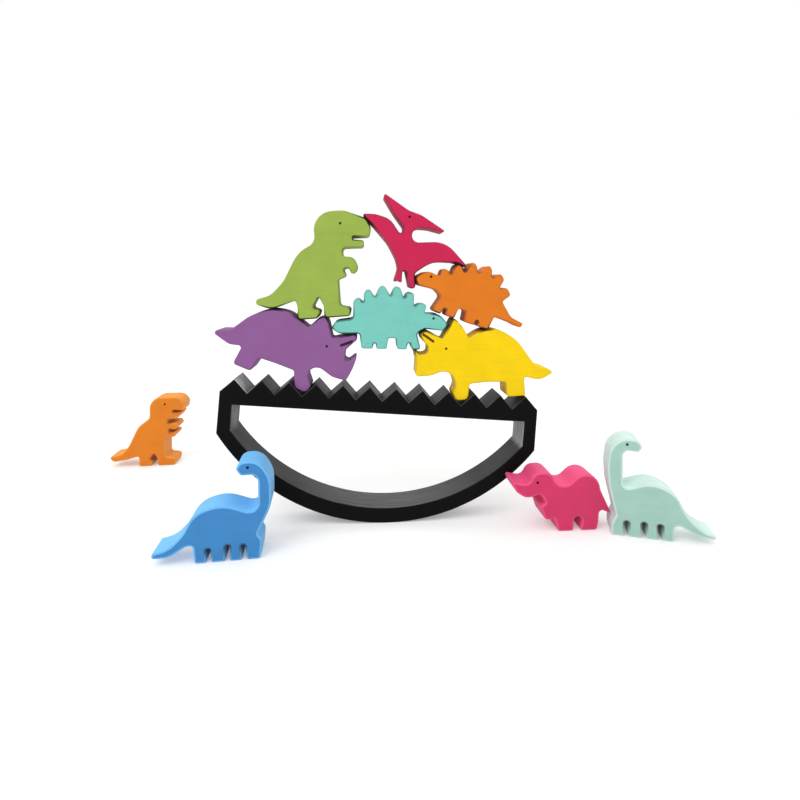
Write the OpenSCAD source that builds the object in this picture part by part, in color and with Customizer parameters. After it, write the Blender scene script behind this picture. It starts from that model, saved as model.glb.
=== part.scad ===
// Stacking balance game: a toothed half-moon rocker that carries a pile of
// six flat wooden animals, with four more animals standing round it.
// Millimetres, +Z up. The origin is where the rocker touches the floor, in
// the middle of its board.

/* [Rocker] */
// Number of teeth along the top
tooth_count = 12; // [10:1:16]
// Distance from one tooth to the next
tooth_pitch = 20; // [16:0.5:26]
// Height of a tooth above the valley beside it
tooth_height = 10; // [6:0.5:12]
// Wood left under the valleys
beam_depth = 9.5; // [6:0.5:16]
// Width of the two short side walls
wall_width = 10; // [6:0.5:16]
// Height of the outside of a side wall, below the valleys
wall_height = 31; // [22:0.5:40]
// How far the outer curve hangs below the side walls
curve_drop = 60.5; // [45:0.5:80]
// Width of the curved band at its lowest point
band_width = 11.5; // [7:0.5:18]
// Thickness of the rocker's board
rocker_thickness = 25; // [20:0.5:36]
// How far the rocker has rolled to the right, in degrees
rocker_roll = 4.5; // [0:0.25:6]

/* [Animals] */
// Thickness of the board that the animals are cut from
animal_thickness = 20; // [14:0.5:24]
// Length of the green tyrannosaur, snout to tail
green_length = 89; // [84:0.5:92]
// Length of the purple triceratops
purple_length = 104.5; // [100:0.5:108]
// Length of the yellow triceratops
yellow_length = 106.5; // [102:0.5:110]
// Length of the teal stegosaur
teal_length = 87.5; // [86:0.5:90]
// Length of the orange stegosaur
orange_length = 90.5; // [88:0.5:92]
// Span of the magenta pterosaur, wing tip to wing tip
magenta_span = 79; // [76:0.5:82]
// Length of the small orange tyrannosaur
small_length = 68.5; // [60:0.5:90]
// Length of the blue sauropod
blue_length = 74.5; // [60:0.5:90]
// Length of the mint sauropod
mint_length = 69.5; // [60:0.5:88]
// Length of the pink dome-headed animal
pink_length = 73.5; // [60:0.5:75]
// Diameter of the drilled eyes
eye_diameter = 1.6; // [1:0.1:3]
// Depth of the drilled eyes
eye_depth = 1.2; // [0.5:0.1:3]
// Width of the groove cut along a triceratops's horn
groove_width = 1.6; // [0.8:0.1:3]
// Depth of that groove
groove_depth = 1; // [0.4:0.1:3]
// Clearance left where one piece rests on another
seat_gap = 0.05; // [0:0.01:0.3]

/* [Hidden] */

// Largest turn between two neighbouring edges of a rounded corner, degrees
corner_step = 12;
// Length by which cuts run past a face
overcut = 1;

// Outlines of the animals, cut from one board each. Every corner is
// [x, z, radius], in millimetres, seen from the front with the feet at z = 0.

tyrannosaur_outline = [
    [-1.5, 78.7, 14], [22, 78.8, 14], [37.3, 72.2, 6], [41.3, 64.7, 6], [39.3, 58.3, 2.5],
    [27.2, 58.7, 0.6], [27.2, 56.8, 0.6], [35, 55.6, 1.4], [34.8, 50.5, 2],
    [18.7, 51, 2.5], [18.5, 44.6, 3], [27, 43.6, 6], [30, 34.5, 5],
    [24.5, 30, 2], [22.5, 36, 2], [18.5, 35, 1.2], [20.5, 29.5, 2],
    [14, 27.5, 1.5], [14, 8, 3], [22.5, 6, 2.5], [21, 0, 2.5],
    [2, 0, 3], [2, 9, 3], [-1, 16.5, 1.2], [-6.5, 8, 2],
    [0, 5.5, 2], [-3, 0, 2.5], [-18, 0, 3], [-17, 9, 6],
    [-18, 14.8, 2], [-36, 9, 14], [-52.5, 16, 2.5], [-36, 19.5, 14],
    [-26, 29, 25], [-14, 50, 25], [-1, 56, 8]
];
tyrannosaur_eye = [18.5, 69.2];

// The small one is stockier, with its mouth nearly shut
small_outline = [
    [-3.5, 67.1, 11], [24, 66.9, 9], [29.4, 60.5, 5], [28.6, 53.6, 1.5],
    [18.8, 53.2, 0.3], [18.8, 52.3, 0.3], [26.4, 51.4, 1.2], [23.5, 46, 4],
    [13.6, 44.6, 1.2], [13.8, 40.6, 1], [21.4, 41.4, 3.5], [24.2, 36.6, 2.5],
    [19.3, 34.5, 1.2], [15, 35.3, 0.8], [15.2, 32, 0.8], [22.3, 32, 1.6],
    [20, 27.6, 2], [11.5, 27, 1.5], [11.6, 8.5, 3], [21.5, 7, 2.5],
    [20.5, 0, 2.5], [4.5, 0, 2.5], [4, 7, 2], [1, 12, 1.2],
    [-3.5, 6.5, 1.6], [0, 4.5, 1.6], [-1, 0, 2], [-13.3, 0, 2.5],
    [-12.8, 9.8, 2], [-24, 6.8, 10], [-36, 5.2, 5], [-42, 10.4, 2.2],
    [-29, 12.5, 8], [-22.5, 20, 14], [-14, 38.5, 16], [-3.4, 46.5, 6]
];
small_eye = [11, 60.1];

purple_outline = [
    [-77.5, 15.6, 2], [-73.5, 19, 3], [-65.5, 22.3, 8], [-57.5, 36, 20],
    [-46, 48.5, 22], [-31, 51.5, 18], [-13.6, 46.4, 1.5], [-9.6, 55.4, 5],
    [-5, 59.4, 2.4], [-0.6, 55.4, 4], [6.2, 45.8, 1.5], [21.6, 56.2, 2.4],
    [23.8, 52, 2.5], [19, 42, 4], [21.2, 34.4, 2], [24.6, 34.8, 2],
    [28.6, 42.4, 1], [29.4, 31, 8], [28.4, 20.3, 2.5], [17.7, 19, 10],
    [3.6, 22.6, 8], [-1.2, 14.4, 6], [6, 6.6, 3], [4.6, 1, 3],
    [-4.6, 0.7, 4], [-10.6, 12.5, 2], [-25, 12.2, 30], [-37.6, 11.3, 2],
    [-39.8, -0.2, 2.5], [-54, -0.2, 2.5], [-52.8, 14.8, 2], [-62, 12, 10]
];
purple_eye = [4.8, 38.8];
purple_groove = [[14.5, 43.6], [21, 49.6]];

yellow_outline = [
    [-75.4, 16.4, 1.6], [-70.5, 19.8, 4], [-61, 22.5, 8], [-48, 42.7, 25],
    [-33, 54, 25], [-20, 52.5, 20], [-10, 47, 1.5], [-5.5, 56, 8],
    [1, 64, 1.8], [5, 57, 8], [10.5, 47.5, 1.5], [23.6, 55.8, 5],
    [27.9, 52.7, 3], [26.6, 48.4, 4], [21.8, 42.5, 2.5], [22.5, 37, 3],
    [28.5, 36.8, 2.5], [33.5, 44.2, 1], [31.5, 32, 8], [33, 20.3, 2.5],
    [20, 20.5, 12], [6, 25, 9], [1.5, 11, 8], [5, 5, 3], [3, 0, 3],
    [-6.5, 0, 3.5], [-8.5, 12, 2.5], [-22, 12.5, 30], [-37, 11.5, 2],
    [-37, 0, 2.5], [-51.8, -0.3, 1.6], [-51.5, 14.8, 2], [-64, 11, 12]
];
yellow_eye = [8.3, 40.3];
yellow_groove = [[18, 46.5], [25.3, 52.3]];
// Height above which its horns are, where they stand free of its nose
yellow_horns_above = 46;

// The two stegosaurs share their heads and legs
stegosaur_front = [
    [41.8, 28, 9], [49.3, 20, 3.2], [45, 15, 3], [31, 16.2, 4],
    [24.8, 12.8, 3], [28.5, 0, 2], [21.6, 0, 1.3], [18.8, 8, 1.1],
    [17.3, 0, 1.3], [10.3, 0, 1.3], [9.3, 8.3, 1.6], [3.1, 8.3, 1.6],
    [2.1, 0, 1.3], [-5.7, 0, 1.3], [-7.3, 7, 0.8], [-8.7, 0, 1.3],
    [-17.3, 0, 1.8], [-19, 11.2, 2], [-35, 10.7, 8]
];
stegosaur_eye = [37.3, 24.5];
// Height under which only their feet are
teal_foot_below = 10;
teal_back = [
    [-40.8, 15.3, 2.2], [-37, 20.3, 5], [-24.3, 22.5, 3],
    [-24.6, 36, 3], [-20.5, 38.5, 2.5], [-16.3, 34, 0.9],
    [-17, 41, 4], [-13.6, 46.6, 2.4], [-7.9, 39, 0.9],
    [-5.6, 45, 4], [-2.2, 50, 2.4], [3.9, 40, 0.9],
    [6, 45.5, 4], [9.8, 50, 2.4], [14.3, 38.2, 0.9],
    [16.2, 43, 4], [21.5, 45, 2.6], [22, 32.9, 1],
    [26.5, 35.3, 4], [32.3, 35.3, 2], [30, 28, 1.5]
];
teal_outline = concat(teal_back, stegosaur_front);
orange_back = [
    [-40.8, 9.4, 1.8], [-42.2, 13.4, 1.4], [-31.5, 15, 8], [-21, 24.3, 2],
    [-26, 31, 2.5], [-21, 35.5, 3], [-15.6, 33, 0.9],
    [-17.2, 40.5, 3], [-13, 44.5, 2.4], [-7.5, 38.5, 0.9],
    [-6, 44, 4], [-2.6, 48.3, 2.4], [3.7, 38.5, 0.9],
    [6, 43, 4], [10.6, 47.2, 2.4], [13.8, 35.3, 0.9],
    [16.4, 39.5, 4], [21.8, 41.2, 2.6], [23, 30.3, 1],
    [25.8, 33.2, 3], [30.6, 33.8, 2], [30.8, 27, 1.5]
];
orange_outline = concat(orange_back, stegosaur_front);

pterosaur_outline = [
    [-21.3, 73.8, 1.2], [0, 59, 6], [10, 55.3, 15], [31, 41.3, 0.9],
    [16, 45.3, 8], [2.5, 46.3, 6], [2.5, 34.6, 5], [28, 35.5, 20],
    [47, 14.2, 1], [36, 19.6, 12], [18, 20.5, 25], [4.6, 11.6, 3.5],
    [5, 0, 2.2], [0.5, 0, 2.2], [-2.2, 13, 1.2], [-5, 13, 1.2],
    [-5.3, 3.8, 0.8], [-8, 6.3, 0.6], [-11.5, 4, 0.9], [-8, 15, 6],
    [-9.5, 22, 20], [-16, 34.5, 30], [-27, 47.5, 30], [-36, 56.2, 1.2],
    [-25, 56, 12], [-14, 52.5, 14], [-5.8, 40, 1.8], [-3.4, 46, 4],
    [-12, 58, 40]
];
pterosaur_eye = [0.6, 54];

blue_outline = [
    [7, 63.8, 9], [20, 65, 14], [28, 52, 18], [28.3, 34.5, 20],
    [19.6, 16.4, 2.5], [22.6, 12, 5], [21.4, 0, 2], [12.6, 0, 1.3],
    [11.6, 9.8, 1.1], [9.1, 9.8, 1.1], [9.8, 0, 1.3], [1.9, 0, 1.3],
    [1.9, 10.2, 1.1], [-0.8, 10.2, 1.1], [-0.8, 0, 1.3], [-9.6, 0, 1.3],
    [-10.4, 8.8, 1.1], [-12.9, 8.8, 1.1], [-12.4, 0, 1.3], [-20, 0, 2],
    [-21, 11.3, 2], [-25, 11.3, 6], [-36, 5, 14], [-47, 5, 1.8],
    [-45.5, 8.8, 2], [-36, 10.8, 16], [-27.5, 19.5, 20], [-20.5, 32.3, 18],
    [-3.5, 37.6, 24], [13, 31.6, 12], [19.8, 31.6, 7], [19.6, 55, 5],
    [8.6, 54.8, 3], [5.6, 59, 3]
];
blue_eye = [13.2, 60.2];

// The mint one is slimmer, with a taller neck
mint_outline = [
    [3.6, 68.9, 6], [13.5, 70.4, 12], [22.6, 62, 14], [24.2, 48, 16], [23.4, 35, 20],
    [18.7, 14.2, 1.4], [21.6, 8, 4], [21.6, 0, 2], [13, 0, 1.3],
    [12.6, 10.4, 1], [10.2, 10.4, 1], [10.4, 0, 1.3], [1.4, 0, 1.3],
    [1.2, 10.8, 1], [-1.2, 10.8, 1], [-1.2, 0, 1.3], [-9.2, 0, 1.3],
    [-9.2, 10.4, 1], [-11.6, 10.4, 1], [-11.4, 0, 1.3], [-19.3, 0, 2],
    [-19.8, 10.6, 2], [-24, 10.8, 6], [-34, 5.6, 14], [-46, 4.2, 1.6],
    [-45, 7.4, 1.6], [-36.5, 9.8, 16], [-28, 18.3, 18], [-20.5, 33, 15],
    [-6, 40.2, 20], [9.5, 34.6, 12], [13.9, 34, 7], [13.6, 61, 4],
    [3.2, 60.4, 3], [0.6, 64.2, 3]
];
mint_eye = [11.1, 65.6];

domehead_outline = [
    [-50.4, 36.8, 1.6], [-45.5, 35.2, 8], [-36.8, 33.6, 5], [-32.5, 41.6, 7],
    [-20, 42, 8], [-17, 33, 7], [-8.5, 31.8, 7], [0, 39.4, 12],
    [13, 39.8, 12], [15.5, 28, 14], [23.6, 10.6, 0.9], [14.4, 14.8, 2.5],
    [13.9, 6, 6], [12.5, 0, 2.5], [0, 0, 2], [2, 7.5, 3], [-1, 10.5, 2.5],
    [-4, 8.5, 2], [-4.4, 0, 1.8], [-15.5, 0, 2.5], [-18.5, 9.8, 1.2],
    [-21.5, 8.2, 3], [-25.2, 8.6, 3], [-28.4, 18.2, 2], [-24.2, 20.2, 1.2],
    [-28, 26.5, 2.5], [-38.3, 23.4, 9], [-45.5, 28.4, 9]
];
domehead_eye = [-30.5, 34.9];

// Where the stacked animals stand: [x, lean], with the lean in degrees,
// counter-clockwise seen from the front. Their heights follow from what
// carries them.
purple_place = [-66, -23.5];
yellow_place = [54.9, 3.1];
// The x of the teal one follows from the yellow horn in front of its foot.
teal_lean = -2;
foot_to_horn = 0.2;
green_place = [-50, 4];
orange_place = [60.4, -18.9];
magenta_place = [15.8, 0];

// Where the loose animals stand on the floor: [x, y, turn], with y at the
// middle of the board and the turn in degrees.
small_place = [-225.5, 122, 3];
blue_place = [-108, -44, 4.5];
mint_place = [182.5, -38, -18];
pink_place = [138.8, -24, 0];

// Outline geometry

function unit(v) = v / norm(v);
function flat(p) = [p.x, p.y];
function widths(pts) = [for (p = pts) p.x];
function span(pts) = max(widths(pts)) - min(widths(pts));

// Corner i of an outline, counted round and round
function corner(pts, i) = pts[(i + len(pts)) % len(pts)];

// Half of the angle inside the corner i
function half_angle(pts, i) =
    let (b = flat(corner(pts, i)))
    acos(unit(flat(corner(pts, i - 1)) - b) * unit(flat(corner(pts, i + 1)) - b)) / 2;

// Length of edge that the rounding of corner i asks for
function wanted_reach(pts, i) = corner(pts, i)[2] / tan(half_angle(pts, i));

// The share of its edges that the rounding of corner i gets
function reach(pts, i) =
    let (own = wanted_reach(pts, i),
         before = norm(flat(corner(pts, i)) - flat(corner(pts, i - 1))),
         after = norm(flat(corner(pts, i + 1)) - flat(corner(pts, i))))
    own * min(1, before / (own + wanted_reach(pts, i - 1)),
              after / (own + wanted_reach(pts, i + 1)));

// The arc that replaces corner i
function rounded_corner(pts, i) =
    let (b = flat(corner(pts, i)),
         to_last = unit(flat(corner(pts, i - 1)) - b),
         to_next = unit(flat(corner(pts, i + 1)) - b),
         half = half_angle(pts, i),
         radius = reach(pts, i) * tan(half),
         centre = b + unit(to_last + to_next) * radius / sin(half),
         turn = 180 - 2 * half,
         way = cross(to_last, to_next) > 0 ? -1 : 1,
         first = b + to_last * reach(pts, i) - centre,
         steps = max(1, ceil(turn / corner_step)))
    [for (k = [0:steps])
        let (a = way * turn * k / steps)
        centre + [first.x * cos(a) - first.y * sin(a), first.x * sin(a) + first.y * cos(a)]];

function rounded(pts) = [for (i = [0:len(pts) - 1]) each rounded_corner(pts, i)];

// An outline turned over left to right
function turned_over(pts) = [for (p = pts) [-p.x, p.y]];

// Points leaned about the origin and moved to [x, z]
function leaned(pts, lean, x = 0, z = 0) =
    [for (p = pts) [x + p.x * cos(lean) - p.y * sin(lean), z + p.x * sin(lean) + p.y * cos(lean)]];

// Height at x of the top or of the underside of an outline, or undef
function heights_at(pts, x) =
    [for (i = [0:len(pts) - 1])
        let (a = pts[i], b = pts[(i + 1) % len(pts)])
        if ((a.x <= x && b.x > x) || (b.x <= x && a.x > x))
            a.y + (b.y - a.y) * (x - a.x) / (b.x - a.x)];

// How far an outline has to rise for its underside to clear the top of
// another one
function rise_over(upper, lower) =
    let (first = max(min(widths(upper)), min(widths(lower))),
         last = min(max(widths(upper)), max(widths(lower))),
         from_upper = [for (p = upper) if (p.x >= first && p.x <= last)
             let (under = heights_at(lower, p.x)) if (len(under) > 0) max(under) - p.y],
         from_lower = [for (p = lower) if (p.x >= first && p.x <= last)
             let (above = heights_at(upper, p.x)) if (len(above) > 0) p.y - min(above)])
    max(concat(from_upper, from_lower, [-500]));

// A piece let down on whichever of its carriers it meets first:
// [x, z, lean]
function settled(pts, place, carriers) =
    let (hung = leaned(pts, place[1], place.x),
         rise = max([for (c = carriers) rise_over(hung, c)]))
    [place.x, rise + seat_gap, place[1]];

// An outline where its piece has settled
function standing(pts, at) = leaned(pts, at[2], at[0], at[1]);

// Rocker outlines, in the rocker's own frame: the valleys lie on z = 0

half_width = tooth_count * tooth_pitch / 2;
curve_radius = (half_width ^ 2 + curve_drop ^ 2) / (2 * curve_drop);
curve_centre = curve_radius - wall_height - curve_drop;
hole_half_width = half_width - wall_width;
hole_wall_height = wall_height - 3;
hole_drop = wall_height + curve_drop - band_width - hole_wall_height;
hole_radius = (hole_half_width ^ 2 + hole_drop ^ 2) / (2 * hole_drop);
hole_centre = hole_radius - hole_wall_height - hole_drop;
curve_steps = 72;

// A curve hanging between two walls, from right to left
function hanging_curve(radius, centre, half) =
    let (reach_angle = asin(half / radius))
    [for (k = [0:curve_steps])
        let (a = reach_angle * (1 - 2 * k / curve_steps))
        [radius * sin(a), centre - radius * cos(a)]];

toothed_edge = [
    for (i = [0:tooth_count - 1]) each [
        [i * tooth_pitch - half_width, 0],
        [(i + 0.5) * tooth_pitch - half_width, tooth_height]
    ],
    [half_width, 0]
];
rocker_outline = concat(toothed_edge, hanging_curve(curve_radius, curve_centre, half_width));
rocker_hole = concat(
    [[-hole_half_width, -beam_depth], [hole_half_width, -beam_depth]],
    hanging_curve(hole_radius, hole_centre, hole_half_width)
);

// The rocker rolls on its outer curve without leaving the floor
function rolled(pts) =
    leaned([for (p = pts) p - [0, curve_centre]], -rocker_roll, 0, curve_radius);

// Animal outlines at their real size, with the scale that gives it

function scale_for(pts, length) = length / span(rounded(pts));
function sized(pts, length) = rounded(pts) * scale_for(pts, length);

purple_pts = sized(purple_outline, purple_length);
yellow_pts = turned_over(sized(yellow_outline, yellow_length));
teal_pts = sized(teal_outline, teal_length);
green_pts = sized(tyrannosaur_outline, green_length);
orange_pts = turned_over(sized(orange_outline, orange_length));
magenta_pts = sized(pterosaur_outline, magenta_span);
mint_pts = turned_over(sized(mint_outline, mint_length));

// The stack, from the bottom up

nose_top = yellow_horns_above * scale_for(yellow_outline, yellow_length);
foot_top = teal_foot_below * scale_for(teal_outline, teal_length);

rocker_now = rolled(rocker_outline);
purple_at = settled(purple_pts, purple_place, [rocker_now]);
purple_now = standing(purple_pts, purple_at);
yellow_at = settled(yellow_pts, yellow_place, [rocker_now]);
yellow_now = standing(yellow_pts, yellow_at);
// The front foot of the teal animal stands on the yellow nose, up to the horn
yellow_horns = [for (i = [0:len(yellow_pts) - 1]) if (yellow_pts[i].y > nose_top) yellow_now[i]];
teal_foot = [for (p = leaned(teal_pts, teal_lean)) if (p.y < foot_top) p];
teal_place = [min(widths(yellow_horns)) - foot_to_horn - max(widths(teal_foot)), teal_lean];
teal_at = settled(teal_pts, teal_place, [purple_now, yellow_now]);
teal_now = standing(teal_pts, teal_at);
green_at = settled(green_pts, green_place, [purple_now, teal_now]);
green_now = standing(green_pts, green_at);
orange_at = settled(orange_pts, orange_place, [yellow_now, teal_now]);
orange_now = standing(orange_pts, orange_at);
magenta_at = settled(magenta_pts, magenta_place, [green_now, orange_now, teal_now]);

// Solids

module board(pts, thickness) {
    rotate([90, 0, 0])
        linear_extrude(thickness, center = true)
            polygon(pts);
}

// Drilled in both faces
module eyes(at) {
    for (side = [-1, 1])
        translate([at.x, side * animal_thickness / 2, at.y])
            rotate([90, 0, 0])
                cylinder(h = 2 * eye_depth, d = eye_diameter, center = true, $fn = 32);
}

// Cut in both faces, with round ends
module grooves(from, to) {
    run = to - from;
    for (side = [-1, 1])
        translate([from.x, side * animal_thickness / 2, from.y])
            rotate([0, -atan2(run.y, run.x), 0]) {
                translate([0, -groove_depth, -groove_width / 2])
                    cube([norm(run), 2 * groove_depth, groove_width]);
                for (end = [0, norm(run)])
                    translate([end, 0, 0])
                        rotate([90, 0, 0])
                            cylinder(h = 2 * groove_depth, d = groove_width, center = true, $fn = 32);
            }
}

module animal(pts, eye) {
    difference() {
        board(pts, animal_thickness);
        eyes(eye);
    }
}

module grooved_animal(pts, eye, groove) {
    difference() {
        animal(pts, eye);
        grooves(groove[0], groove[1]);
    }
}

// Puts a stacked animal where it has settled
module settle(at) {
    translate([at[0], 0, at[1]])
        rotate([0, -at[2], 0])
            children();
}

// Puts a loose animal on the floor
module stand(place) {
    translate([place.x, place.y, 0])
        rotate([0, 0, place[2]])
            children();
}

module rocker() {
    color([0.09, 0.09, 0.09])
        difference() {
            board(rolled(rocker_outline), rocker_thickness);
            board(rolled(rocker_hole), rocker_thickness + 2 * overcut);
        }
}

module purple_triceratops() {
    factor = scale_for(purple_outline, purple_length);
    color([0.57, 0.37, 0.61])
        settle(purple_at)
            grooved_animal(purple_pts, purple_eye * factor, purple_groove * factor);
}

module yellow_triceratops() {
    factor = scale_for(yellow_outline, yellow_length);
    color([0.98, 0.84, 0.08])
        settle(yellow_at)
            grooved_animal(yellow_pts, turned_over([yellow_eye])[0] * factor,
                           turned_over(yellow_groove) * factor);
}

module teal_stegosaur() {
    color([0.49, 0.8, 0.76])
        settle(teal_at)
            animal(teal_pts, stegosaur_eye * scale_for(teal_outline, teal_length));
}

module green_tyrannosaur() {
    color([0.61, 0.71, 0.29])
        settle(green_at)
            animal(green_pts, tyrannosaur_eye * scale_for(tyrannosaur_outline, green_length));
}

module orange_stegosaur() {
    color([0.9, 0.49, 0.14])
        settle(orange_at)
            animal(orange_pts, turned_over([stegosaur_eye])[0]
                               * scale_for(orange_outline, orange_length));
}

module magenta_pterosaur() {
    color([0.8, 0.18, 0.35])
        settle(magenta_at)
            animal(magenta_pts, pterosaur_eye * scale_for(pterosaur_outline, magenta_span));
}

module small_tyrannosaur() {
    color([0.9, 0.51, 0.18])
        stand(small_place)
            animal(sized(small_outline, small_length),
                   small_eye * scale_for(small_outline, small_length));
}

module blue_sauropod() {
    color([0.27, 0.55, 0.78])
        stand(blue_place)
            animal(sized(blue_outline, blue_length),
                   blue_eye * scale_for(blue_outline, blue_length));
}

module mint_sauropod() {
    color([0.63, 0.8, 0.75])
        stand(mint_place)
            animal(mint_pts, turned_over([mint_eye])[0] * scale_for(mint_outline, mint_length));
}

module pink_domehead() {
    color([0.84, 0.25, 0.41])
        stand(pink_place)
            animal(sized(domehead_outline, pink_length),
                   domehead_eye * scale_for(domehead_outline, pink_length));
}

rocker();
purple_triceratops();
yellow_triceratops();
teal_stegosaur();
green_tyrannosaur();
orange_stegosaur();
magenta_pterosaur();
small_tyrannosaur();
blue_sauropod();
mint_sauropod();
pink_domehead();
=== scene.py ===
import bpy
import math
import numpy as np
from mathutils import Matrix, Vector
from mathutils.geometry import tessellate_polygon


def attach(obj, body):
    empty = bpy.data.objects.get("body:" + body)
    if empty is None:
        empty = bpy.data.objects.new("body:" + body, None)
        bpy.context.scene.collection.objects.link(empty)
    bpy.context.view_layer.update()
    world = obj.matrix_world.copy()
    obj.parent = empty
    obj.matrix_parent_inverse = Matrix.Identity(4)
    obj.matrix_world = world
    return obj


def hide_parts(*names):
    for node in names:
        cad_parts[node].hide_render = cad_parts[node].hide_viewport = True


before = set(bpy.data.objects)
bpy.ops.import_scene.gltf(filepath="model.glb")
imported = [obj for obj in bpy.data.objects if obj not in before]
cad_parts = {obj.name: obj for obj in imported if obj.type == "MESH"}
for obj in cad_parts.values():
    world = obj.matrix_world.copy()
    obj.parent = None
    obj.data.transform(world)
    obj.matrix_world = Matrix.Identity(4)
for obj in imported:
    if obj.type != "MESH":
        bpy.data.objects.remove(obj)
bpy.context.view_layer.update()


# The viewer stands close in front of the table, a little left of the middle
# and just above the top of the rocker, and looks level across the pile.
camera = bpy.data.objects.new("camera", bpy.data.cameras.new("camera"))
bpy.context.scene.collection.objects.link(camera)
bpy.context.scene.camera = camera
camera.location = (-0.0171, -0.3698, 0.1843)
camera.rotation_euler = (math.radians(90), 0, math.radians(-4.15))
camera.data.sensor_width = 36
camera.data.lens = 21.375
camera.data.shift_y = -0.1525
camera.data.clip_start = 0.01


# The rocker is one half moon cut from a thick board, with teeth sawn along
# its straight side. It is painted black, dead matt on the two faces, with a
# dull shine on the cut edges, where the board shows through as fine lines.

def outlines(node, turn):
    """The closed outlines of a node's front face, in the plane of its board,
    which is turned about the vertical, and the depths of its two faces."""
    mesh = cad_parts[node].data
    points = np.array([v.co for v in mesh.vertices])
    c, s = math.cos(turn), math.sin(turn)
    flat = np.stack([points[:, 0] * c + points[:, 1] * s,
                     points[:, 1] * c - points[:, 0] * s,
                     points[:, 2]], axis=1)
    front, back = flat[:, 1].min(), flat[:, 1].max()
    keys = [tuple(p) for p in np.round(flat * 1e6).astype(int)]
    place = dict(zip(keys, flat))
    edges = set()
    for face in mesh.polygons:
        corners = [keys[i] for i in face.vertices]
        if all(abs(place[k][1] - front) < 2e-5 for k in corners):
            edges.update(zip(corners, corners[1:] + corners[:1]))
    follow = {a: b for a, b in edges if (b, a) not in edges}
    loops = []
    while follow:
        loop = [next(iter(follow))]
        while True:
            after = follow.pop(loop[-1])
            if after == loop[0]:
                break
            loop.append(after)
        loops.append(np.array([[place[k][0], place[k][2]] for k in loop]))
    loops.sort(key=lambda p: -np.ptp(p[:, 0]))
    return loops, front, back


def smoothed(loop):
    """The outline with one more point on each short edge of a curve."""
    low, high = loop.min(0), loop.max(0)
    run = np.roll(loop, -1, 0) - loop
    length = np.hypot(run[:, 0], run[:, 1])
    heading = np.arctan2(run[:, 1], run[:, 0])
    bend = (heading - np.roll(heading, 1) + math.pi) % (2 * math.pi) - math.pi
    points = []
    for i in range(len(loop)):
        points.append(loop[i])
        here, there = bend[i], bend[(i + 1) % len(loop)]
        most = max(abs(here), abs(there))
        if here * there > 0 and most < 0.3 and length[i] < 0.009 and length[i] > 0.0003:
            out = np.array([run[i, 1], -run[i, 0]]) * math.copysign(most / 8, here)
            points.append(np.clip(loop[i] + run[i] / 2 + out, low, high))
    return np.array(points)


def inward(loop):
    """Unit directions into the wood at each point, longer at sharp corners."""
    run = np.roll(loop, -1, 0) - loop
    run /= np.hypot(run[:, 0], run[:, 1])[:, None]
    side = np.stack([-run[:, 1], run[:, 0]], axis=1)
    both = side + np.roll(side, 1, 0)
    both /= np.hypot(both[:, 0], both[:, 1])[:, None]
    share = np.clip((both * side).sum(1), 0.6, 1)
    return both / share[:, None]


def nearest(points, loop):
    """Distance from each point to an outline."""
    run = np.roll(loop, -1, 0) - loop
    off = points[:, None, :] - loop[None, :, :]
    along = np.clip((off * run).sum(2) / (run * run).sum(1), 0, 1)
    gap = off - along[:, :, None] * run
    return np.sqrt((gap * gap).sum(2).min(1))


def room_inside(loop, depth):
    """How far each point can move in, up to depth, before it nears another
    part of the outline."""
    way = inward(loop)
    low, high = np.zeros(len(loop)), np.full(len(loop), depth)
    for _ in range(9):
        middle = (low + high) / 2
        free = nearest(loop + way * middle[:, None], loop) > middle * 0.985 - 1e-7
        low, high = np.where(free, middle, low), np.where(free, high, middle)
    return low


def shut_in(loop, reach):
    """0 where an outline is open to its surroundings, towards 1 in a notch."""
    way = -inward(loop)
    way /= np.hypot(way[:, 0], way[:, 1])[:, None]
    run = np.roll(loop, -1, 0) - loop
    start = loop + way * 2e-5
    seen = np.zeros(len(loop))
    angles = np.radians(np.linspace(-72, 72, 13))
    for a in angles:
        ray = np.stack([way[:, 0] * math.cos(a) - way[:, 1] * math.sin(a),
                        way[:, 0] * math.sin(a) + way[:, 1] * math.cos(a)], axis=1)
        off = loop[None, :, :] - start[:, None, :]
        cross = ray[:, None, 0] * run[None, :, 1] - ray[:, None, 1] * run[None, :, 0]
        cross = np.where(abs(cross) < 1e-12, 1e-12, cross)
        far = (off[:, :, 0] * run[None, :, 1] - off[:, :, 1] * run[None, :, 0]) / cross
        on = (off[:, :, 0] * ray[:, None, 1] - off[:, :, 1] * ray[:, None, 0]) / cross
        far = np.where((on >= 0) & (on <= 1) & (far > 0), far, reach)
        seen += np.minimum(far.min(1), reach) / reach
    return 1 - seen / len(angles)


stacked = ("purple_triceratops", "yellow_triceratops", "teal_stegosaur",
           "green_tyrannosaur", "orange_stegosaur", "magenta_pterosaur")
stacked_loops = {node: outlines(node, 0)[0] for node in stacked}


def close_by(node, loop, reach):
    """Towards 1 where an animal of the pile all but touches an outline of
    another one or of the rocker. The loose pieces touch nothing."""
    gap = np.full(len(loop), reach)
    if node in stacked or node == "rocker":
        for other in stacked:
            if other != node:
                for other_loop in stacked_loops[other]:
                    gap = np.minimum(gap, nearest(loop, other_loop))
    return 1 - gap / reach


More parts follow.
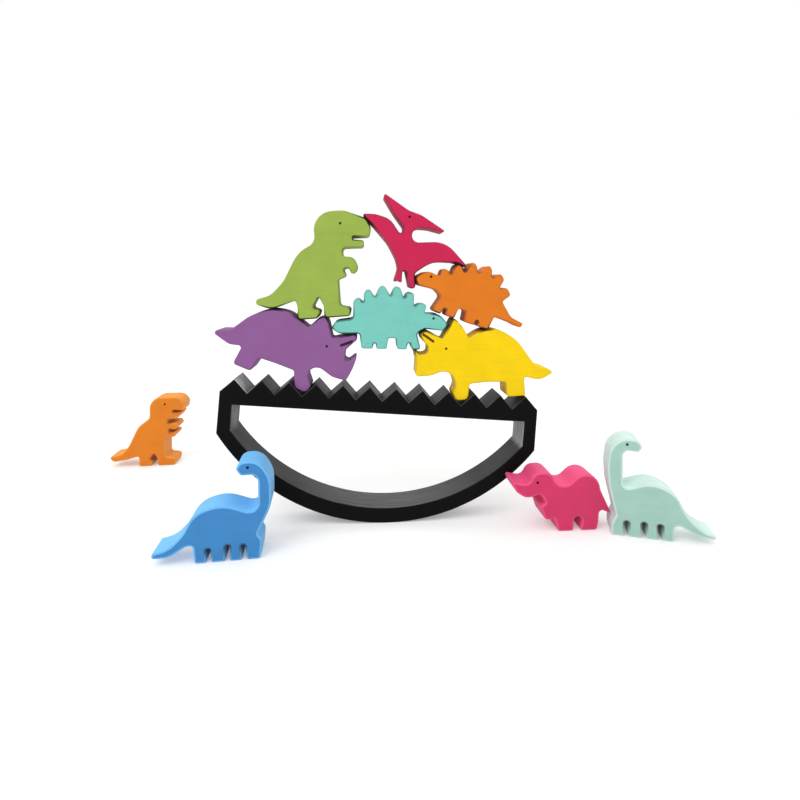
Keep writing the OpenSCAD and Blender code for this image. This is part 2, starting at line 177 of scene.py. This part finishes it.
def cut_board(name, node, turn, rim, steps, materials):
    """A board cut to the node's outline, its edges rounded by hand sanding to
    the radius rim, with its blind holes and grooves. The materials are those
    of the faces, of the cut edges and of the holes, if it has any."""
    widest_cut = 0.012
    widest_eye = 0.0025
    eye_depth = 0.0011
    groove_depth = 0.0009
    lip_width = 0.0002
    foot_width = 0.00025
    notch_reach = 0.009
    touch_reach = 0.0055
    on_face, on_edge, on_hole = 0, 1, 2
    loops, front, back = outlines(node, turn)
    points, shade, worn, touch = [], [], [], []
    faces, kinds = [], []

    def ring(flat, depth, dark, lighter_by, close):
        first = len(points)
        points.extend((p[0], depth, p[1]) for p in flat)
        shade.extend(dark)
        worn.extend([lighter_by] * len(flat))
        touch.extend(close)
        return first

    def join(a, b, count, kind):
        for i in range(count):
            j = (i + 1) % count
            faces.append((a + i, b + i, b + j, a + j))
            kinds.append(kind)

    def fill(rings, kind, turned):
        loops3 = [[Vector(points[r + i]).xzy for i in range(n)] for r, n in rings]
        index = [r + i for r, n in rings for i in range(n)]
        for triangle in tessellate_polygon(loops3):
            a, b, c = (index[i] for i in triangle)
            u = [points[b][k] - points[a][k] for k in (0, 2)]
            v = [points[c][k] - points[a][k] for k in (0, 2)]
            if (u[0] * v[1] - u[1] * v[0] > 0) == turned:
                b, c = c, b
            faces.append((a, b, c))
            kinds.append(kind)

    front_rings, back_rings = [], []
    for loop in loops:
        blind = np.ptp(loop[:, 0]) < widest_cut
        loop = smoothed(loop)
        count = len(loop)
        way = inward(loop)
        if blind:
            deep = eye_depth if np.ptp(loop, 0).max() < widest_eye else groove_depth
            none = np.zeros(count)
            for face, step, rings in ((front, 1, front_rings), (back, -1, back_rings)):
                lip = ring(loop + way * lip_width, face, none, 0.5, none)
                wall = ring(loop, face + step * lip_width, none, 0.5, none)
                foot = ring(loop, face + step * (deep - lip_width), none, 0, none)
                base = ring(loop - way * foot_width, face + step * deep, none, 0, none)
                rings.append((lip, count))
                for a, b in ((lip, wall), (wall, foot), (foot, base)):
                    if step > 0:
                        join(a, b, count, on_hole)
                    else:
                        join(b, a, count, on_hole)
                fill([(base, count)], on_hole, step < 0)
            continue
        room = room_inside(loop, rim)
        # How shut in each point is and how near another piece comes set the painted shade on its
        # cut edge.
        dark = shut_in(loop, notch_reach)
        close = close_by(node, loop, touch_reach)
        rings = []
        for k in range(steps + 1):
            a = math.radians(90) * k / steps
            inset = np.minimum(rim * (1 - math.sin(a)), room)
            rings.append((loop + way * inset[:, None], rim * (1 - math.cos(a)), math.cos(a) ** 0.5))
        rows = [ring(p, front + d, dark, lighter_by, close) for p, d, lighter_by in rings]
        rows += [ring(p, back - d, dark, lighter_by, close) for p, d, lighter_by in reversed(rings)]
        for a, b in zip(rows, rows[1:]):
            join(a, b, count, on_edge)
        front_rings.append((rows[0], count))
        back_rings.append((rows[-1], count))
    fill(front_rings, on_face, False)
    fill(back_rings, on_face, True)

    c, s = math.cos(turn), math.sin(turn)
    world = [(x * c - y * s, x * s + y * c, z) for x, y, z in points]
    mesh = bpy.data.meshes.new(name)
    mesh.from_pydata(world, [], faces)
    mesh.validate()
    mesh.polygons.foreach_set("material_index", kinds)
    mesh.polygons.foreach_set("use_smooth", [True] * len(faces))
    mesh.attributes.new("shut_in", "FLOAT", "POINT").data.foreach_set("value", shade)
    mesh.attributes.new("wear_and_highlight", "FLOAT", "POINT").data.foreach_set("value", worn)
    mesh.attributes.new("close_by", "FLOAT", "POINT").data.foreach_set("value", touch)
    mesh.set_sharp_from_angle(angle=math.radians(38))
    for material in materials:
        mesh.materials.append(material)
    board = bpy.data.objects.new(name, mesh)
    bpy.context.scene.collection.objects.link(board)
    even = board.modifiers.new("even", "WEIGHTED_NORMAL")
    even.keep_sharp = True
    even.weight = 100
    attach(board, "root")
    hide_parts(node)
    return board


def paint(name, colour, turn, lean, grain, gloss, spread=0.1, edge=False,
          painted_shade=(0, 0, 0), painted_shade_share=0.0, wear_and_highlight=(1, 1, 1), wear_and_highlight_share=0.0,
          shine=0.5):
    """Paint on a board whose fibres run along it, leaned with the piece. On a cut edge the fibres
    show as lines along the edge instead. It turns to a near-black painted shade in notches and
    where pieces touch, and to a lighter colour where rims are worn and where painted highlights and
    reflections are marked."""
    material = bpy.data.materials.new(name)
    material.use_nodes = True
    tree = material.node_tree
    shader = tree.nodes["Principled BSDF"]

    def add(kind, **values):
        node = tree.nodes.new(kind)
        for key, value in values.items():
            setattr(node, key, value)
        return node

    def link(a, out, b, into):
        tree.links.new(a.outputs[out], b.inputs[into])

    def noise(place, scale, detail, rough=0.5):
        texture = add("ShaderNodeTexNoise")
        texture.inputs["Scale"].default_value = scale
        texture.inputs["Detail"].default_value = detail
        texture.inputs["Roughness"].default_value = rough
        link(place, 0, texture, "Vector")
        return texture

    def levels(source, low, high, to_low, to_high):
        scale = add("ShaderNodeMapRange", clamp=True)
        for key, value in (("From Min", low), ("From Max", high),
                           ("To Min", to_low), ("To Max", to_high)):
            scale.inputs[key].default_value = value
        link(source, "Fac", scale, "Value")
        return scale

    def mix(under, out, over, share):
        blend = add("ShaderNodeMix", data_type="RGBA")
        link(under, out, blend, colour_a)
        blend.inputs[colour_b].default_value = (*over, 1)
        link(share, 0, blend, 0)
        return blend, mixed

    colour_a, colour_b, mixed = 6, 7, 2
    where = add("ShaderNodeTexCoord")
    along = add("ShaderNodeMapping", vector_type="TEXTURE")
    along.inputs["Rotation"].default_value = (0, -lean, turn)
    tree.links.new(where.outputs["Object"], along.inputs["Vector"])
    fibres = add("ShaderNodeMapping")
    fibres.inputs["Scale"].default_value = (45, 1300, 45) if edge else (34, 260, 1500)
    link(along, 0, fibres, "Vector")
    streaks = noise(fibres, 1, 5, 0.62)
    patches = noise(along, 65, 3)
    stipple = noise(along, 1500, 2)

    value = add("ShaderNodeMath", operation="MULTIPLY_ADD")
    link(streaks, "Fac", value, 0)
    value.inputs[1].default_value = grain
    shift = levels(patches, 0.3, 0.7, 1 - grain / 2 - spread / 2, 1 - grain / 2 + spread / 2)
    link(shift, 0, value, 2)
    tint = add("ShaderNodeHueSaturation")
    tint.inputs["Color"].default_value = (*colour, 1)
    link(value, 0, tint, "Value")
    last, out = tint, 0
    # A lighter colour where the rims are worn and, on the rocker, painted highlights and
    # reflections.
    if wear_and_highlight_share:
        lighter_by = add("ShaderNodeAttribute", attribute_name="wear_and_highlight")
        part = add("ShaderNodeMath", operation="MULTIPLY")
        link(lighter_by, "Fac", part, 0)
        spots = levels(streaks, 0.38, 0.62, 0.3 * wear_and_highlight_share, 1.4 * wear_and_highlight_share)
        link(spots, 0, part, 1)
        last, out = mix(last, out, wear_and_highlight, part)
    # Painted shade: the colour turns near-black in notches and where pieces touch.
    if painted_shade_share:
        shut = add("ShaderNodeAttribute", attribute_name="shut_in")
        part = levels(shut, 0.3, 0.72, 0, painted_shade_share)
        last, out = mix(last, out, painted_shade, part)
        met = add("ShaderNodeAttribute", attribute_name="close_by")
        part = levels(met, 0.15, 0.75, 0, painted_shade_share)
        last, out = mix(last, out, painted_shade, part)
    link(last, out, shader, "Base Color")

    dull = add("ShaderNodeMath", operation="MULTIPLY_ADD")
    link(streaks, "Fac", dull, 0)
    dull.inputs[1].default_value = 0.22 if edge else 0.1
    even = levels(patches, 0.3, 0.7, gloss - 0.13, gloss + 0.02)
    link(even, 0, dull, 2)
    link(dull, 0, shader, "Roughness")
    shader.inputs["Specular IOR Level"].default_value = shine

    fine = add("ShaderNodeBump")
    fine.inputs["Strength"].default_value = 0.35
    fine.inputs["Distance"].default_value = 0.00006
    link(stipple, "Fac", fine, "Height")
    coarse = add("ShaderNodeBump")
    coarse.inputs["Strength"].default_value = 0.6 if edge else 0.45
    coarse.inputs["Distance"].default_value = 0.00012
    link(streaks, "Fac", coarse, "Height")
    link(fine, 0, coarse, "Normal")
    link(coarse, 0, shader, "Normal")
    return material


rolled = math.radians(4.5)
# Its cut edges carry painted shade in the tooth valleys and where the animals touch it, and painted
# highlights where marked below.
rocker = cut_board(
    "rocker_board", "rocker", 0, 0.0004, 2,
    [paint("black_face", (0.003, 0.003, 0.0031), 0, rolled, 0.5, 0.75, 0.4, shine=0.1),
     paint("black_edge", (0.009, 0.009, 0.0095), 0, rolled, 1.6, 0.4, 0.8, edge=True,
           painted_shade=(0.003, 0.003, 0.003), painted_shade_share=0.75, wear_and_highlight=(0.5, 0.5, 0.51), wear_and_highlight_share=0.024,
           shine=0.4)])

# The paint is made lighter as painted highlights and reflections along the middle of the curve,
# inside the right end, on the front corners of the teeth and, most of all, on the first tooth's
# inner flank. Each corner has its x and z, and its painted highlight at the front and at the back
# of the board.
highlight_corners = [(0.1044, 0.0736, 20, 20), (0.1029, 0.0551, 20, 20),
                (-0.1134, 0.1103, 90, 25), (-0.1042, 0.0995, 16, 8)]
corner_reach = 0.0032
curve_low, curve_high, curve_highlight = 0.0105, 0.03, 9
teeth_low, front_corners, tooth_highlight = 0.082, -0.0122, 6
lighter_by = rocker.data.attributes["wear_and_highlight"].data
for i, point in enumerate(rocker.data.vertices):
    x, y, z = point.co
    for corner_x, corner_z, front_highlight, back_highlight in highlight_corners:
        if math.hypot(x - corner_x, z - corner_z) < corner_reach:
            lighter_by[i].value += front_highlight if y < 0 else back_highlight
    if curve_low < z < curve_high:
        lighter_by[i].value += curve_highlight * (1 - z / curve_high)
    if z > teeth_low and y < front_corners:
        lighter_by[i].value += tooth_highlight


# The six animals of the pile are cut from a thinner board, sanded round at the edges and thinly
# painted, each in its own colour. Their cut edges are painted a darker copy of the face colour as
# painted shade, and the narrow gaps between legs and plates, and the edges where two pieces touch,
# carry a nearly black painted shade.

def animal(name, node, turn, lean, colour, edge_colour_with_painted_light, painted_shade, painted_shade_share, rim=0.0011,
           sheen=0.2):
    """An animal with drilled eyes, turned about the vertical and leaned to the
    left, both in degrees."""
    turn, lean = math.radians(turn), math.radians(lean)
    # The drilled eyes and grooves are painted a dark copy of the body colour, painted shade in the
    # holes.
    painted_hole_shade = tuple(0.16 * v for v in colour)
    light = tuple(min(1, 1.12 * v + 0.02) for v in colour)
    # The cut edges get their own copy of the colour: lighter than the faces on the loose pieces as
    # painted highlight, darker in the pile as painted shade.
    cut_board(
        name, node, turn, rim, 4,
        [paint(name + "_face", colour, turn, lean, 0.2, 0.5, 0.09, shine=0.15),
         paint(name + "_edge", edge_colour_with_painted_light, turn, lean, 0.26, 0.5, 0.12, edge=True,
               painted_shade=painted_shade, painted_shade_share=painted_shade_share, wear_and_highlight=light, wear_and_highlight_share=0.35, shine=sheen),
         paint(name + "_hole", painted_hole_shade, turn, 0, 0.3, 0.7, shine=0.2)])


animal("purple_animal", "purple_triceratops", 0, -23.5,
       (0.274, 0.109, 0.301), (0.235, 0.09, 0.26), (0.012, 0.005, 0.016), 0.94)
animal("yellow_animal", "yellow_triceratops", 0, 3.1,
       (0.945, 0.65, 0.002), (0.88, 0.58, 0.006), (0.03, 0.018, 0.002), 0.92)
animal("teal_animal", "teal_stegosaur", 0, -2,
       (0.195, 0.6, 0.52), (0.15, 0.5, 0.43), (0.008, 0.02, 0.02), 0.94)
animal("green_animal", "green_tyrannosaur", 0, 4,
       (0.322, 0.448, 0.075), (0.27, 0.38, 0.05), (0.012, 0.018, 0.004), 0.95)
animal("orange_animal", "orange_stegosaur", 0, -18.9,
       (0.76, 0.2, 0.0135), (0.62, 0.145, 0.011), (0.02, 0.007, 0.002), 0.95)
animal("magenta_animal", "magenta_pterosaur", 0, 0,
       (0.6, 0.018, 0.085), (0.42, 0.015, 0.06), (0.025, 0.002, 0.006), 0.9)


# The four loose animals come from the same board and the same paint pots. Their cut edges are
# painted a lighter copy of the face colour, a painted highlight for the light on their upper edges,
# which stand in the open, and their leg slits carry a near-black painted shade.
animal("small_orange_animal", "small_tyrannosaur", 3, 0,
       (0.8, 0.23, 0.019), (0.85, 0.3, 0.032), (0.2, 0.035, 0.005), 0.7, 0.0014, 0.35)
animal("blue_animal", "blue_sauropod", 4.5, 0,
       (0.055, 0.252, 0.572), (0.17, 0.52, 0.93), (0.006, 0.014, 0.03), 0.94, 0.0014, 0.35)
animal("mint_animal", "mint_sauropod", -18, 0,
       (0.378, 0.61, 0.53), (0.63, 0.81, 0.75), (0.015, 0.025, 0.022), 0.94, 0.0014, 0.35)
animal("pink_animal", "pink_domehead", 0, 0,
       (0.67, 0.044, 0.14), (0.85, 0.08, 0.235), (0.09, 0.006, 0.02), 0.8, 0.0014, 0.35)


# The table is a broad white sheet that reaches past the view on all sides. To
# the viewer it is a little brighter than the light makes it, so it fades into
# the white behind it and keeps the shadows.
table = bpy.data.meshes.new("table")
table.from_pydata([(-3, -3, 0), (3, -3, 0), (3, 3, 0), (-3, 3, 0)], [], [(0, 1, 2, 3)])
table_top = bpy.data.objects.new("table", table)
bpy.context.scene.collection.objects.link(table_top)
sheet = bpy.data.materials.new("table_sheet")
sheet.use_nodes = True
cloth = sheet.node_tree
shell = cloth.nodes["Principled BSDF"]
shell.inputs["Base Color"].default_value = (0.78, 0.78, 0.78, 1)
shell.inputs["Roughness"].default_value = 0.9
shell.inputs["Specular IOR Level"].default_value = 0.1
seen = cloth.nodes.new("ShaderNodeLightPath")
either = cloth.nodes.new("ShaderNodeMath")
either.operation = "MAXIMUM"
cloth.links.new(seen.outputs["Is Camera Ray"], either.inputs[0])
cloth.links.new(seen.outputs["Is Glossy Ray"], either.inputs[1])
lift = cloth.nodes.new("ShaderNodeMath")
lift.operation = "MULTIPLY"
lift.inputs[1].default_value = 0.25
cloth.links.new(either.outputs[0], lift.inputs[0])
glow = cloth.nodes.new("ShaderNodeEmission")
cloth.links.new(lift.outputs[0], glow.inputs["Strength"])
both = cloth.nodes.new("ShaderNodeAddShader")
cloth.links.new(shell.outputs[0], both.inputs[0])
cloth.links.new(glow.outputs[0], both.inputs[1])
cloth.links.new(both.outputs[0], cloth.nodes["Material Output"].inputs["Surface"])
table.materials.append(sheet)


# Light falls from a white tent, brightest overhead, and from one broad lamp
# up on the left.
world = bpy.data.worlds.new("tent")
bpy.context.scene.world = world
world.use_nodes = True
sky = world.node_tree
sky.nodes.clear()
direction = sky.nodes.new("ShaderNodeTexCoord")
split = sky.nodes.new("ShaderNodeSeparateXYZ")
sky.links.new(direction.outputs["Generated"], split.inputs[0])
ramp = sky.nodes.new("ShaderNodeMapRange")
ramp.inputs["From Min"].default_value = 0
ramp.inputs["From Max"].default_value = 1
ramp.inputs["To Min"].default_value = 0.68
ramp.inputs["To Max"].default_value = 1.7
sky.links.new(split.outputs["Z"], ramp.inputs["Value"])
tent = sky.nodes.new("ShaderNodeBackground")
sky.links.new(ramp.outputs[0], tent.inputs["Strength"])
plain = sky.nodes.new("ShaderNodeBackground")
plain.inputs["Strength"].default_value = 1
plain.inputs["Color"].default_value = (1, 1, 1, 1)
path = sky.nodes.new("ShaderNodeLightPath")
choose = sky.nodes.new("ShaderNodeMixShader")
sky.links.new(path.outputs["Is Camera Ray"], choose.inputs[0])
sky.links.new(tent.outputs[0], choose.inputs[1])
sky.links.new(plain.outputs[0], choose.inputs[2])
out = sky.nodes.new("ShaderNodeOutputWorld")
sky.links.new(choose.outputs[0], out.inputs["Surface"])

lamp = bpy.data.lights.new("lamp", "AREA")
lamp.shape = "SQUARE"
lamp.size = 0.7
lamp.energy = 5.5
lamp_stand = bpy.data.objects.new("lamp", lamp)
bpy.context.scene.collection.objects.link(lamp_stand)
lamp_stand.location = (-0.7, -0.7, 1.2)
aim = Vector((0, 0, 0.1)) - lamp_stand.location
lamp_stand.rotation_euler = aim.to_track_quat("-Z", "Y").to_euler()

bpy.context.scene.view_settings.view_transform = "Standard"
